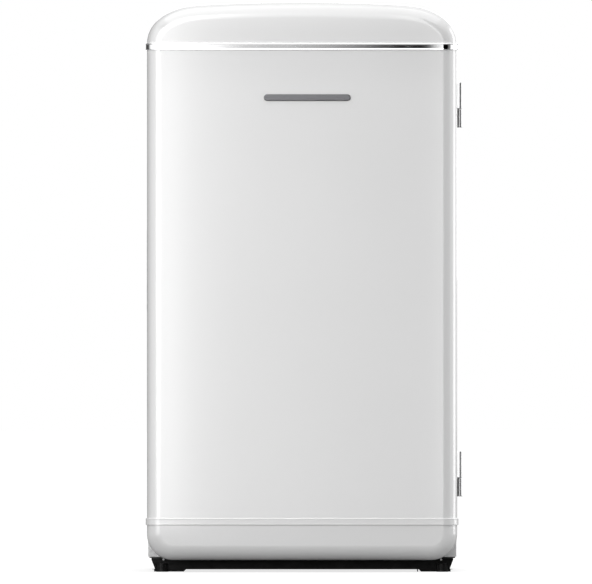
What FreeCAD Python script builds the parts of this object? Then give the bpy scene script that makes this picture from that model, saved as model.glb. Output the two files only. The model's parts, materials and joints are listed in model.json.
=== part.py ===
import FreeCAD, Part
import math
import os
from FreeCAD import Vector

# Single-door retro mini fridge, in millimetres. X is to the right as one faces the door, -Y is the
# front and +Z is up. The body is modelled about x = 0 and moved to the middle of its envelope at the end.

# ---- Driving dimensions -------------------------------------------------------------------------
HALF_W = 236.0  # half the door's width
SPRING_Z = 804.5  # where the straight sides end and the domed top begins
DOME_BENDS = ((46.0, 40.0), (91.0, 10.0), (228.0, 3.0))  # arc radius, slope in degrees where it ends

DOOR_FRONT_Y = -250.0
DOOR_DEPTH = 58.0
DOOR_Z = 18.5  # underside of the door
DOOR_CORNER_R = 40.0
DOOR_EDGE_R = 23.0  # rounding between the door's face and its sides
SKIN = 2.0
GASKET_GAP = 12.0

CABINET_INSET = 1.0  # the cabinet is this much narrower than the door on each side
CABINET_Z = 23.0
CABINET_DEPTH = 395.0
SHEET = 0.8
COVER_WALL = 2.0
FIT = 0.2  # gap between parts that rest in each other

CAVITY_HALF_W = 200.0
CAVITY_Z = (62.0, 786.0)
CAVITY_REAR_Y = 170.0
CAVITY_R = 18.0
STEP_Y = 72.0  # riser of the step over the compressor
STEP_Z = 252.0  # tread of that step
LINER = 2.0

STRIP_H = 10.0
STRIP_PROUD = 2.0
LOWER_STRIP_Z = 72.0

HINGE_H = 69.0
HINGE_SPLIT = 28.0  # height of the cabinet's knuckle
HINGE_Z = (677.0, 115.0)
BARREL_R = 4.1
PIN_R = 2.0
BORE_CLEARANCE = 0.05

SHELF_Z = (515.0, 385.0)
CRISPER_COVER_Z = 228.0
GLASS = 4.0

REAR_Y = 250.0  # wall spacers

# ---- Planes worked out from them ------------------------------------------------------------------
DOOR_REAR_Y = DOOR_FRONT_Y + DOOR_DEPTH
FRONT_Y = DOOR_REAR_Y + GASKET_GAP  # cabinet's front frame
BACK_Y = FRONT_Y + CABINET_DEPTH
SIDE_X = HALF_W - CABINET_INSET
AXIS_X = HALF_W + BARREL_R
AXIS_Y = (DOOR_REAR_Y + FRONT_Y) / 2
JOINT_Z = SPRING_Z - STRIP_H / 2  # door panel meets its top cap under the strip
LOWER_JOINT_Z = LOWER_STRIP_Z + STRIP_H / 2
COVER_Z = 800.0  # side panels end and the domed cover begins
BADGE_THICK = 2.4


# ---- Small helpers --------------------------------------------------------------------------------
def box(x, y, z):
    """Block between the low and high value on each axis."""
    return Part.makeBox(x[1] - x[0], y[1] - y[0], z[1] - z[0], Vector(x[0], y[0], z[0]))


def rod(radius, start, end):
    """Round bar from start to end."""
    axis = Vector(*end) - Vector(*start)
    return Part.makeCylinder(radius, axis.Length, Vector(*start), axis)


def taper(r_start, r_end, start, end):
    """Cone between two radii from start to end."""
    axis = Vector(*end) - Vector(*start)
    return Part.makeCone(r_start, r_end, axis.Length, Vector(*start), axis)


def span(edge, axis):
    """Low and high value of an edge on one axis."""
    bounds = edge.BoundBox
    return getattr(bounds, axis + "Min"), getattr(bounds, axis + "Max")


def at(edge, axis, value, slack=1e-3):
    """True if the whole edge lies at one value of an axis."""
    low, high = span(edge, axis)
    return abs(low - value) < slack and abs(high - value) < slack


def along(edge, axis):
    """True if the edge is a straight one parallel to an axis."""
    return all(at(edge, other, span(edge, other)[0]) for other in "XYZ" if other != axis)


def rounded(shape, radius, chosen):
    """Fillets every edge for which chosen(edge) is true."""
    return shape.makeFillet(radius, [e for e in shape.Edges if chosen(e)])


def block(x, y, z, radius, axis="Z"):
    """Block whose four edges along one axis are rounded."""
    return rounded(box(x, y, z), radius, lambda e: along(e, axis))


def tray(x, y, z, wall, radius):
    """Open-topped tray with rounded upright and bottom edges."""
    outer = block(x, y, z, radius)
    outer = rounded(outer, radius * 0.6, lambda e: at(e, "Z", z[0]))
    inside = [(low + wall, high - wall) for low, high in (x, y)]
    inner = block(*inside, (z[0] + wall, z[1] + 1), radius - wall)
    inner = rounded(inner, radius * 0.6 - wall * 0.6, lambda e: at(e, "Z", z[0] + wall))
    return outer.cut(inner)


def pipe(points, radius, bend):
    """Round bar along straight runs joined by tangent arcs of radius bend."""
    corners = [Vector(*p) for p in points]
    here, edges = corners[0], []
    for before, corner, after in zip(corners, corners[1:], corners[2:]):
        back, onward = (before - corner).normalize(), (after - corner).normalize()
        half = back.getAngle(onward) / 2
        start = corner + back * (bend / math.tan(half))
        end = corner + onward * (bend / math.tan(half))
        inward = (back + onward).normalize()
        middle = corner + inward * (bend / math.sin(half) - bend)
        edges.append(Part.LineSegment(here, start).toShape())
        edges.append(Part.Arc(start, middle, end).toShape())
        here = end
    edges.append(Part.LineSegment(here, corners[-1]).toShape())
    path = Part.Wire(edges)
    ring = Part.Wire(Part.Circle(corners[0], corners[1] - corners[0], radius).toShape())
    solid = path.makePipeShell([ring], True, True)
    expected = path.Length * math.pi * radius**2
    if abs(solid.Volume - expected) > 0.01 * expected:
        raise ValueError(f"a pipe's volume is {solid.Volume:.0f}, and it should be {expected:.0f}")
    return solid


def both_sides(shape):
    """The shape and its mirror image across x = 0."""
    return [shape, shape.mirror(Vector(0, 0, 0), Vector(1, 0, 0))]


# ---- The silhouette that door and cabinet share ---------------------------------------------------
def dome_arcs():
    """Centre x, centre z, radius, first and last slope of each arc, from the left side up to the crown."""
    arcs, x, z, slope = [], -HALF_W, SPRING_Z, 90.0
    for radius, last in DOME_BENDS:
        cx = x + radius * math.sin(math.radians(slope))
        cz = z - radius * math.cos(math.radians(slope))
        arcs.append((cx, cz, radius, slope, last))
        x = cx - radius * math.sin(math.radians(last))
        z = cz + radius * math.cos(math.radians(last))
        slope = last
    crown = -x / math.sin(math.radians(slope))
    arcs.append((0.0, z - crown * math.cos(math.radians(slope)), crown, slope, -slope))
    return arcs


def outline(inset, z_low, corner):
    """Closed outline in the XZ plane, inset from the door's silhouette, with rounded lower corners."""
    half, edges = HALF_W - inset, []

    def on_arc(arc, slope, side):
        cx, cz, radius = arc[:3]
        x = cx - (radius - inset) * math.sin(math.radians(slope))
        return Vector(side * x, 0, cz + (radius - inset) * math.cos(math.radians(slope)))

    *bends, crown = dome_arcs()
    for arc in bends:
        first, last = arc[3:]
        for side in (1, -1):
            stops = [on_arc(arc, slope, side) for slope in (first, (first + last) / 2, last)]
            edges.append(Part.Arc(*stops).toShape())
    edges.append(Part.Arc(*[on_arc(crown, slope, 1) for slope in (crown[3], 0.0, crown[4])]).toShape())
    for side in (1, -1):
        foot = Vector(side * half, 0, z_low + corner)
        edges.append(Part.LineSegment(Vector(side * half, 0, SPRING_Z), foot).toShape())
        if corner > 0:
            cx, cz, diagonal = half - corner, z_low + corner, corner * math.sqrt(0.5)
            middle = Vector(side * (cx + diagonal), 0, cz - diagonal)
            edges.append(Part.Arc(foot, middle, Vector(side * cx, 0, z_low)).toShape())
    inner = half - corner
    edges.append(Part.LineSegment(Vector(-inner, 0, z_low), Vector(inner, 0, z_low)).toShape())
    return Part.Wire(Part.__sortEdges__(edges))


def dome_slab(inset, z_low, corner, y):
    """The silhouette as a solid between two y values."""
    face = Part.Face(outline(inset, z_low, corner))
    face.translate(Vector(0, y[0], 0))
    return face.extrude(Vector(0, y[1] - y[0], 0))


def door_form(inset, rear_y):
    """The door's closed outer form, inset by a wall thickness."""
    slab = dome_slab(inset, DOOR_Z + inset, DOOR_CORNER_R - inset, (DOOR_FRONT_Y + inset, rear_y))
    return rounded(slab, DOOR_EDGE_R - inset, lambda e: at(e, "Y", DOOR_FRONT_Y + inset))


def cavity_form(grow):
    """The food compartment's inside with the step over the compressor, grown by a wall thickness."""
    half = CAVITY_HALF_W + grow
    rear, low, high = CAVITY_REAR_Y + grow, CAVITY_Z[0] - grow, CAVITY_Z[1] + grow
    front = FRONT_Y - 20
    whole = box((-half, half), (front, rear), (low, high))
    step = box((-half - 1, half + 1), (STEP_Y + grow, rear + 1), (low - 1, STEP_Z - grow))
    form = whole.cut(step)
    return rounded(form, CAVITY_R + grow, lambda e: along(e, "Y") or (along(e, "X") and not at(e, "Y", front)
                   and not at(e, "Y", STEP_Y + grow)))


# ---- Hinges ---------------------------------------------------------------------------------------
DOOR_SCREW_Y = -209.0
DOOR_SCREW_Z = (11.0, 29.0)  # above the split
CABINET_SCREW_Y = (-169.0, -154.0)
LEAF = 3.2


def countersunk_screw(x, y, z):
    """Screw driven in along -X, its head flush with a leaf's face at x."""
    head = taper(1.7, 3.6, (x - 1.9, y, z), (x, y, z))
    shank = rod(1.7, (x - 16.0, y, z), (x - 1.9, y, z))
    slot = box((x - 0.7, x + 1), (y - 4, y + 4), (z - 0.4, z + 0.4))
    return head.fuse(shank).cut(slot)


def screw_hole(x, y, z):
    """Clearance for countersunk_screw."""
    head = taper(1.75, 3.7, (x - 1.95, y, z), (x + 0.02, y, z))
    return head.fuse(rod(1.75, (x - 16.2, y, z), (x - 1.9, y, z)))


def door_screw_places():
    return [(HALF_W + LEAF, DOOR_SCREW_Y, base + HINGE_SPLIT + up) for base in HINGE_Z for up in DOOR_SCREW_Z]


def cabinet_screw_places():
    return [(SIDE_X + LEAF, y, base + HINGE_SPLIT / 2) for base in HINGE_Z for y in CABINET_SCREW_Y]


def knuckle(z_low, z_high):
    """Barrel of a hinge leaf, bored for the pin."""
    barrel = rod(BARREL_R, (AXIS_X, AXIS_Y, z_low), (AXIS_X, AXIS_Y, z_high))
    return rounded(barrel, 0.8, lambda e: not along(e, "Z"))


def pin_bore(z_low, z_high):
    return rod(PIN_R + BORE_CLEARANCE, (AXIS_X, AXIS_Y, z_low - 1), (AXIS_X, AXIS_Y, z_high + 1))


def hinge_leaves(base):
    """Door leaf above, cabinet leaf below, and the pin through both."""
    split, top = base + HINGE_SPLIT, base + HINGE_H
    door_plate = block((HALF_W, HALF_W + LEAF), (-222, AXIS_Y), (split + 0.2, top), 1.4, "X")
    door_leaf = door_plate.fuse(knuckle(split + 0.2, top)).cut(pin_bore(split, top))
    cabinet_plate = block((SIDE_X, SIDE_X + LEAF), (AXIS_Y + 1.5, -142), (base, split), 1.4, "X")
    bridge = box((AXIS_X - BARREL_R, AXIS_X - 0.9), (AXIS_Y, AXIS_Y + 6.5), (base + 1, split - 1))
    cabinet_leaf = cabinet_plate.fuse(bridge).fuse(knuckle(base, split)).cut(pin_bore(base, split))
    for place in door_screw_places():
        door_leaf = door_leaf.cut(screw_hole(*place))
    for place in cabinet_screw_places():
        cabinet_leaf = cabinet_leaf.cut(screw_hole(*place))
    pin = rod(PIN_R, (AXIS_X, AXIS_Y, base + 0.6), (AXIS_X, AXIS_Y, top - 0.6))
    return door_leaf, cabinet_leaf, pin


def hinge_nodes():
    upper_door, upper_cabinet, upper_pin = hinge_leaves(HINGE_Z[0])
    lower_door, lower_cabinet, lower_pin = hinge_leaves(HINGE_Z[1])
    return {
        "door_hinge_leaves": [upper_door, lower_door],
        "cabinet_hinge_leaves": [upper_cabinet, lower_cabinet],
        "hinge_pins": [upper_pin, lower_pin],
        "door_hinge_screws": [countersunk_screw(*place) for place in door_screw_places()],
    }


# ---- Door -----------------------------------------------------------------------------------------
GRIP_Z = (400.0, 520.0)
GRIP_Y = (-221.0, -197.0)
GRIP_DEPTH = 18.0
GRIP_WALL = 1.8
RIDGE = ((-192.0, 192.0), (66.0, 780.0))  # outer x and z of the inner liner's ridge
RIDGE_W = 24.0
RIDGE_Y = -158.0
GASKET_X = 226.0
GASKET_Z = (34.0, 818.0)
GASKET_W = 15.0
RACK_Y = -105.0
RACK_WALL = 2.2
RACK_Z = {"top": (636.0, 690.0), "middle": (440.0, 502.0), "bottom": (104.0, 178.0)}
BOTTLE_Z = 224.0
BOTTLE_R = 2.0
RAIL_Y = -167.0  # the bottle rail's sockets in the ridge


def grip_pocket(grow):
    """Finger recess in the door's left side."""
    return block((-HALF_W - 2, -HALF_W + GRIP_DEPTH + grow), (GRIP_Y[0] - grow, GRIP_Y[1] + grow),
                 (GRIP_Z[0] - grow, GRIP_Z[1] + grow), 8.0 + grow, "X")


def door_skin_parts():
    """Painted shell of the door, in three parts that meet under the trim strips."""
    shell = door_form(0, DOOR_REAR_Y).cut(door_form(SKIN, DOOR_REAR_Y + 5))
    wide, deep = (-300, 300), (-300, -100)
    top = shell.common(box(wide, deep, (JOINT_Z + FIT / 2, 900)))
    panel = shell.common(box(wide, deep, (LOWER_JOINT_Z + FIT / 2, JOINT_Z - FIT / 2)))
    bottom = shell.common(box(wide, deep, (0, LOWER_JOINT_Z - FIT / 2)))
    panel = panel.cut(grip_pocket(GRIP_WALL))
    for place in door_screw_places():
        panel = panel.cut(screw_hole(*place))
    return {"door_top_cap": top, "door_panel": panel, "door_bottom_cap": bottom}


def ridge(inset, back_y):
    """Raised ring round the door's inner liner, which holds the racks."""
    (x0, x1), (z0, z1) = RIDGE
    x, z = (x0 + inset, x1 - inset), (z0 + inset, z1 - inset)
    outer = block(x, (back_y, RIDGE_Y - inset), z, 16.0 - inset, "Y")
    w = RIDGE_W - inset
    inner = block((x0 + w, x1 - w), (back_y - 1, RIDGE_Y + 1), (z0 + w, z1 - w), 10.0 + inset, "Y")
    ring = outer.cut(inner)
    return rounded(ring, 5.0 - inset / 2, lambda e: at(e, "Y", RIDGE_Y - inset))


def door_liner():
    plate = dome_slab(SKIN + FIT, DOOR_Z + SKIN + FIT, DOOR_CORNER_R - SKIN - FIT,
                      (DOOR_REAR_Y - LINER, DOOR_REAR_Y))
    hollow = ridge(LINER, DOOR_REAR_Y - LINER - 1)
    liner = plate.fuse(ridge(0, DOOR_REAR_Y - LINER)).cut(hollow)
    for socket in ridge_sockets():
        liner = liner.cut(socket)
    return liner


def ridge_sockets():
    """Slots in the ridge's inner sides for the racks' lugs, and round holes for the bottle rail."""
    x, sockets = RIDGE[0][1] - RIDGE_W, []
    for low, high in RACK_Z.values():
        sockets += both_sides(box((x - 1, x + 1.2), (-176, -168), (low + 8, high - 8)))
    return sockets + both_sides(rod(BOTTLE_R + 0.1, (x - 1, RAIL_Y, BOTTLE_Z), (x + 1.6, RAIL_Y, BOTTLE_Z)))


def door_foam():
    foam = door_form(SKIN + FIT, DOOR_REAR_Y - LINER - FIT)
    foam = foam.cut(grip_pocket(GRIP_WALL + FIT))
    for place in door_screw_places():
        foam = foam.cut(screw_hole(*place))
    return foam


def grip_insert():
    """Moulded cup set into the side of the door, with a thin rim outside."""
    cup = block((-HALF_W - 0.3, -HALF_W + GRIP_DEPTH + GRIP_WALL - FIT),
                (GRIP_Y[0] - GRIP_WALL + FIT, GRIP_Y[1] + GRIP_WALL - FIT),
                (GRIP_Z[0] - GRIP_WALL + FIT, GRIP_Z[1] + GRIP_WALL - FIT), 8.0 + GRIP_WALL - FIT, "X")
    return cup.cut(grip_pocket(0))


def gasket_ring(x, z, width, y, radius):
    outer = block((-x, x), y, z, radius, "Y")
    hole_x, hole_z = (-x + width, x - width), (z[0] + width, z[1] - width)
    return outer.cut(block(hole_x, (y[0] - 1, y[1] + 1), hole_z, radius - width / 2, "Y"))


def gasket_parts():
    """Flexible seal on the door, and the magnet strips inside its four legs."""
    front, rear = DOOR_REAR_Y, FRONT_Y - 0.3
    magnet_y = (rear - 4.0, rear - 1.0)
    margin, mw = 3.5, 8.0
    x1, (z0, z1) = GASKET_X, GASKET_Z
    seal = gasket_ring(x1, GASKET_Z, GASKET_W, (front, rear), 12.0)
    upright = box((x1 - margin - mw, x1 - margin), magnet_y, (z0 + 22, z1 - 22))
    level = [box((-x1 + 22, x1 - 22), magnet_y, z) for z in ((z0 + margin, z0 + margin + mw),
                                                            (z1 - margin - mw, z1 - margin))]
    magnets = both_sides(upright) + level
    for magnet in magnets:
        seal = seal.cut(magnet)
    bellows = gasket_ring(x1 - 5.5, (z0 + 5.5, z1 - 5.5), 4.0, (front + 2.0, rear - 5.5), 9.0)
    return {"door_gasket": seal.cut(bellows), "gasket_magnets": magnets}


def trim_strip(z_low):
    """Bright band round the front and sides of the door."""
    out = STRIP_PROUD
    z_high, rear_y = z_low + STRIP_H, DOOR_REAR_Y - 5
    outer = box((-HALF_W - out, HALF_W + out), (DOOR_FRONT_Y - out, rear_y), (z_low, z_high))
    outer = rounded(outer, DOOR_EDGE_R + out, lambda e: along(e, "Z") and at(e, "Y", DOOR_FRONT_Y - out))
    outer = rounded(outer, 1.5, lambda e: not along(e, "Z") and not at(e, "Y", rear_y)
                    and (at(e, "Z", z_low) or at(e, "Z", z_high)))
    inner = box((-HALF_W, HALF_W), (DOOR_FRONT_Y, DOOR_REAR_Y + 5), (z_low - 1, z_high + 1))
    return outer.cut(rounded(inner, DOOR_EDGE_R, lambda e: along(e, "Z") and at(e, "Y", DOOR_FRONT_Y)))


def badge():
    """Plain rounded bar on the face of the door."""
    bar = block((-58, 74), (DOOR_FRONT_Y - BADGE_THICK, DOOR_FRONT_Y), (717, 727), 4.9, "Y")
    return rounded(bar, 1.2, lambda e: at(e, "Y", DOOR_FRONT_Y - BADGE_THICK))


def door_rack(z):
    """Tray that drops between the ridge's sides, wider where it stands proud of the ridge."""
    low, high = z
    side = RIDGE[0][1] - RIDGE_W - 0.5
    front_half = RIDGE[0][1] - 6.0

    def plan(inset, z_low, z_high):
        rear = box((-side + inset, side - inset), (DOOR_REAR_Y + 0.4 + inset, RIDGE_Y + 6), (z_low, z_high))
        front = block((-front_half + inset, front_half - inset), (RIDGE_Y + 0.5 + inset, RACK_Y - inset),
                      (z_low, z_high), 12.0 - inset)
        return rear.fuse(front)

    rack = plan(0, low, high).cut(plan(RACK_WALL, low + RACK_WALL, high + 1))
    lugs = both_sides(box((side - 1, side + 1.4), (-175.5, -168.5), (low + 8.5, high - 8.5)))
    return rack.fuse(lugs[0]).fuse(lugs[1])


def bottle_rail():
    """Bent bar that keeps bottles in the lowest rack."""
    end, side = RIDGE[0][1] - RIDGE_W + 1.4, RIDGE[0][1] - RIDGE_W - 16
    return pipe([(-end, RAIL_Y, BOTTLE_Z), (-side, RAIL_Y, BOTTLE_Z), (-side, -108.5, BOTTLE_Z),
                 (side, -108.5, BOTTLE_Z), (side, RAIL_Y, BOTTLE_Z), (end, RAIL_Y, BOTTLE_Z)], BOTTLE_R, 9.0)


def door_nodes():
    nodes = door_skin_parts()
    nodes.update(gasket_parts())
    nodes["door_foam"] = door_foam()
    nodes["door_liner"] = door_liner()
    nodes["grip_insert"] = grip_insert()
    nodes["upper_trim_strip"] = trim_strip(SPRING_Z - STRIP_H)
    nodes["lower_trim_strip"] = trim_strip(LOWER_STRIP_Z)
    nodes["badge"] = badge()
    for name, z in RACK_Z.items():
        nodes[f"{name}_door_rack"] = door_rack(z)
    nodes["bottle_rail"] = bottle_rail()
    return nodes


# ---- Cabinet --------------------------------------------------------------------------------------
FRAME_X = 213.5  # inner edge of the steel front flange
CROSSBAR_Z = (CABINET_Z, 48.5)
PLATE_Y = 104.0  # rear face of the partition in front of the compressor
PLATE_Z = 222.0  # top face of the partition over the compressor
LINE_HOLE = (-135.0, 275.0)  # x and z where the refrigerant lines enter the back
SWITCH = (206.5, 720.0)
SWITCH_R = 3.0


def side_panel():
    """Right-hand side sheet, with its front and rear flanges folded inwards."""
    x, y, z = (SIDE_X - 60, SIDE_X), (FRONT_Y, BACK_Y), (CABINET_Z, COVER_Z - FIT)
    outer = rounded(box(x, y, z), 1.6, lambda e: along(e, "Z") and at(e, "X", SIDE_X))
    inner = box((x[0] - 1, SIDE_X - SHEET), (FRONT_Y + SHEET, BACK_Y - SHEET), (0, 900))
    inner = rounded(inner, 0.8, lambda e: along(e, "Z") and at(e, "X", SIDE_X - SHEET))
    panel = outer.cut(inner)
    panel = panel.cut(box((0, FRAME_X), (FRONT_Y - 1, FRONT_Y + 5), (0, 900)))
    return panel.cut(box((0, SIDE_X - 14), (BACK_Y - 5, BACK_Y + 1), (0, 900)))


def side_panels():
    right, left = both_sides(side_panel())
    for place in cabinet_screw_places():
        right = right.cut(screw_hole(*place))
    return {"right_side_panel": right, "left_side_panel": left}


def top_cover():
    """Domed cover with closed ends, open underneath where the foam fills it."""
    outer = dome_slab(CABINET_INSET, COVER_Z, 0, (FRONT_Y, BACK_Y))
    outer = rounded(outer, 1.5, lambda e: at(e, "Y", BACK_Y) and not at(e, "Z", COVER_Z))
    inner = dome_slab(CABINET_INSET + COVER_WALL, COVER_Z - 5, 0, (FRONT_Y + COVER_WALL, BACK_Y - COVER_WALL))
    return outer.cut(inner)


def front_crossbars():
    """Steel channels that join the side panels' front flanges below and above the opening."""
    x = (-FRAME_X + FIT, FRAME_X - FIT)
    low = box(x, (FRONT_Y, FRONT_Y + 16), CROSSBAR_Z)
    hollow_z = (CROSSBAR_Z[0] + SHEET, CROSSBAR_Z[1] - SHEET)
    low = low.cut(box((-300, 300), (FRONT_Y + SHEET, FRONT_Y + 17), hollow_z))
    behind = FRONT_Y + COVER_WALL + FIT
    high = box((-206, 206), (behind, behind + 1.0), (COVER_Z + 1, COVER_Z + 22))
    return [low, high]


def liner():
    """Vacuum-formed inside of the cabinet, with its front flange and shelf ledges."""
    shell = cavity_form(LINER).cut(cavity_form(0))
    shell = shell.cut(box((-300, 300), (FRONT_Y - 30, FRONT_Y), (0, 900)))
    flange_z = (CROSSBAR_Z[1] + FIT, COVER_Z - FIT)
    flange = box((-FRAME_X + FIT, FRAME_X - FIT), (FRONT_Y, FRONT_Y + LINER), flange_z)
    shell = shell.fuse(flange.cut(cavity_form(0)))
    for level in (*SHELF_Z, CRISPER_COVER_Z, TRAY_Z[1] - 4):
        rear = STEP_Y - 4 if level < STEP_Z else CAVITY_REAR_Y - 16
        x, z = (CAVITY_HALF_W - 7, CAVITY_HALF_W + 1), (level - 7, level - FIT)
        for ledge in both_sides(block(x, (-81.5, rear), z, 2.5, "Y")):
            shell = shell.fuse(ledge)
    hole = rod(SWITCH_R + 0.4, (SWITCH[0], FRONT_Y - 1, SWITCH[1]), (SWITCH[0], FRONT_Y + 5, SWITCH[1]))
    return shell.cut(hole)


def switch_body_form(grow):
    x, z = SWITCH
    return box((x - 4.3 - grow, x + 4.6 + grow), (FRONT_Y + LINER + 0.1 - grow, FRONT_Y + 24 + grow),
               (z - 14 - grow, z + 14 + grow))


def cabinet_foam():
    inset = CABINET_INSET + COVER_WALL + FIT
    foam = dome_slab(inset, CABINET_Z + 0.6, 0, (FRONT_Y + LINER + FIT, BACK_Y - COVER_WALL - FIT))
    foam = foam.cut(cavity_form(LINER + FIT))
    foam = foam.cut(box((-300, 300), (PLATE_Y - 1.2, 300), (0, PLATE_Z + FIT)))
    foam = foam.cut(box((-215, 215), (FRONT_Y, FRONT_Y + 16.2), (0, CROSSBAR_Z[1] + FIT)))
    foam = foam.cut(box((-207, 207), (FRONT_Y, FRONT_Y + COVER_WALL + 1.6), (COVER_Z, COVER_Z + 23)))
    foam = foam.cut(switch_body_form(FIT))
    for x, radius in line_places():
        foam = foam.cut(rod(radius, (x, CAVITY_REAR_Y + 8, LINE_HOLE[1]), (x, 260, LINE_HOLE[1])))
    for place in cabinet_screw_places():
        foam = foam.cut(screw_hole(*place))
    return foam


def rear_panel():
    """Flat sheet that closes the foamed back, screwed to the flanges."""
    panel = block((-222, 222), (BACK_Y, BACK_Y + SHEET), (PLATE_Z - 1, COVER_Z + 12), 10.0, "Y")
    for x, radius in line_places():
        panel = panel.cut(rod(radius + 0.4, (x, 200, LINE_HOLE[1]), (x, 260, LINE_HOLE[1])))
    return panel


def rear_panel_screws():
    """Pan-head screws round the rear panel, kept to the panel and the space behind it."""
    heads = []
    for z in (240, 400, 560, 720):
        screw = rod(3.8, (214, BACK_Y + SHEET, z), (214, BACK_Y + SHEET + 2.2, z))
        screw = rounded(screw, 1.2, lambda e: at(e, "Y", BACK_Y + SHEET + 2.2))
        cross = box((211, 217), (BACK_Y + SHEET + 1.2, BACK_Y + 9), (z - 0.5, z + 0.5))
        cross = cross.fuse(box((213.5, 214.5), (BACK_Y + SHEET + 1.2, BACK_Y + 9), (z - 3, z + 3)))
        heads += both_sides(screw.cut(cross))
    return heads


def cabinet_fasteners():
    """Hinge screws, rear panel screws and the compressor's bolts."""
    hinge_screws = [countersunk_screw(*place) for place in cabinet_screw_places()]
    return hinge_screws + rear_panel_screws() + grommet_bolts()


def compartment_plate():
    """Folded sheet between the foam and the compressor space."""
    x = (-SIDE_X + SHEET + FIT, SIDE_X - SHEET - FIT)
    riser = box(x, (PLATE_Y - 1, PLATE_Y), (CABINET_Z + 0.2, PLATE_Z))
    roof = box(x, (PLATE_Y - 1, BACK_Y - SHEET - FIT), (PLATE_Z - 1, PLATE_Z))
    return riser.fuse(roof)


# ---- Base and feet --------------------------------------------------------------------------------
PAN_Z = (21.0, 22.6)
PAN_REAR_Y = 238.0
FOOT_X = 213.5
FOOT_Y = -168.0
FOOT_R = 10.0
FOOT_H = 13.0
RAIL_Z = (3.8, 20.8)
HOUSING_LOW_Z = 0.3  # the rail's foot housings stop just clear of the floor
RAIL_FRONT_Y = -176.0
BUTTON_X = 211.5
GLAND = (-175.0, 48.0)  # x and z of the supply cord's gland
GLAND_BORE_R = 4.1


def base_pan():
    """Black floor sheet with the gland's bracket."""
    pan = box((-233, 233), (-176, PAN_REAR_Y), PAN_Z)
    gx, gz = GLAND
    pan = pan.fuse(block((gx - 16, gx + 16), (PAN_REAR_Y - 4, PAN_REAR_Y - 2.4), (21, gz + 16), 6.0, "Y"))
    pan = pan.cut(rod(7.1, (gx, 200, gz), (gx, 260, gz)))
    for foot in both_sides(rod(4.4, (FOOT_X, FOOT_Y, 10), (FOOT_X, FOOT_Y, 30))):
        pan = pan.cut(foot)
    for x, y in grommet_places():
        pan = pan.cut(rod(4.1, (x, y, 10), (x, y, 30)))
    return pan


def cord_gland():
    """Rubber bush in the bracket, bored for the supply cord."""
    gx, gz = GLAND
    face = PAN_REAR_Y - 2.4
    bush = rod(6.9, (gx, face - 8, gz), (gx, face + 5, gz))
    for y in ((face - 5.0, face - 1.8), (face + 0.2, face + 3.2)):
        bush = bush.fuse(rod(9.5, (gx, y[0], gz), (gx, y[1], gz)))
    return bush.cut(rod(GLAND_BORE_R, (gx, face - 20, gz), (gx, face + 20, gz)))


def plinth_rail():
    """Black moulding under the door: a stepped rail with a foot housing at each end and one thin tab."""
    front, mid_z = RAIL_FRONT_Y, 12.5
    lip = box((-230, 230), (front, -150), (mid_z, RAIL_Z[1]))
    lower = box((-229, 229), (front + 3, -150), (RAIL_Z[0], mid_z))
    rail = lip.fuse(lower).fuse(box((174.8, 176.4), (-168, -152), (HOUSING_LOW_Z, 8)))
    housing = box((177, 226), (front + 6, -128), (HOUSING_LOW_Z, RAIL_Z[1]))
    inner_edge = [e for e in housing.Edges if along(e, "Y") and at(e, "X", 177) and at(e, "Z", HOUSING_LOW_Z)]
    for side in both_sides(housing.makeChamfer(3.8, inner_edge)):
        rail = rail.fuse(side)
    slope = [Vector(x, -200, z) for x, z in ((231, 21), (224.5, 4), (240, 4), (240, 21), (231, 21))]
    wedge = Part.Face(Part.makePolygon(slope)).extrude(Vector(0, 100, 0))
    well = rod(FOOT_R + 0.5, (FOOT_X, FOOT_Y, -1), (FOOT_X, FOOT_Y, FOOT_H + 0.5))
    stem = rod(4.4, (FOOT_X, FOOT_Y, 0), (FOOT_X, FOOT_Y, 30))
    for cutter in both_sides(wedge) + both_sides(well) + both_sides(stem) + corner_buttons():
        rail = rail.cut(cutter)
    return rail


def corner_buttons():
    """Light plugs in the rail's top edge, just under the door's round corners."""
    y = RAIL_FRONT_Y
    plug = rod(1.6, (BUTTON_X, y - 1.2, RAIL_Z[1] - 2.0), (BUTTON_X, y + 3.0, RAIL_Z[1] - 2.0))
    return both_sides(rounded(plug, 0.6, lambda e: at(e, "Y", y - 1.2)))


def levelling_foot():
    """Fluted round foot on a threaded stem."""
    pad = rod(FOOT_R, (FOOT_X, FOOT_Y, 0), (FOOT_X, FOOT_Y, FOOT_H))
    pad = rounded(pad, 1.0, lambda e: at(e, "Z", 0) or at(e, "Z", FOOT_H))
    flutes = 16
    for n in range(flutes):
        turn = 2 * math.pi * n / flutes
        x, y = FOOT_X + (FOOT_R + 0.5) * math.cos(turn), FOOT_Y + (FOOT_R + 0.5) * math.sin(turn)
        pad = pad.cut(rod(1.1, (x, y, 3.0), (x, y, FOOT_H + 1)))
    stem = rod(3.2, (FOOT_X, FOOT_Y, FOOT_H - 1), (FOOT_X, FOOT_Y, PAN_Z[1]))
    pitch = 1.25
    foot = pad.fuse(stem)
    for n in range(6):
        low = FOOT_H + 1.5 + n * pitch
        thread = taper(3.2, 4.0, (FOOT_X, FOOT_Y, low), (FOOT_X, FOOT_Y, low + pitch / 2))
        foot = foot.fuse(thread)
    return foot


def rear_feet():
    foot = rod(17, (195, 190, 0), (195, 190, PAN_Z[0] - FIT))
    return both_sides(rounded(foot, 2.0, lambda e: at(e, "Z", 0)))


def base_nodes():
    right, left = both_sides(levelling_foot())
    return {
        "base_pan": base_pan(),
        "plinth_rail": plinth_rail(),
        "corner_buttons": corner_buttons(),
        "right_levelling_foot": right,
        "left_levelling_foot": left,
        "rear_feet": rear_feet(),
        "cord_gland": cord_gland(),
    }


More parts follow.
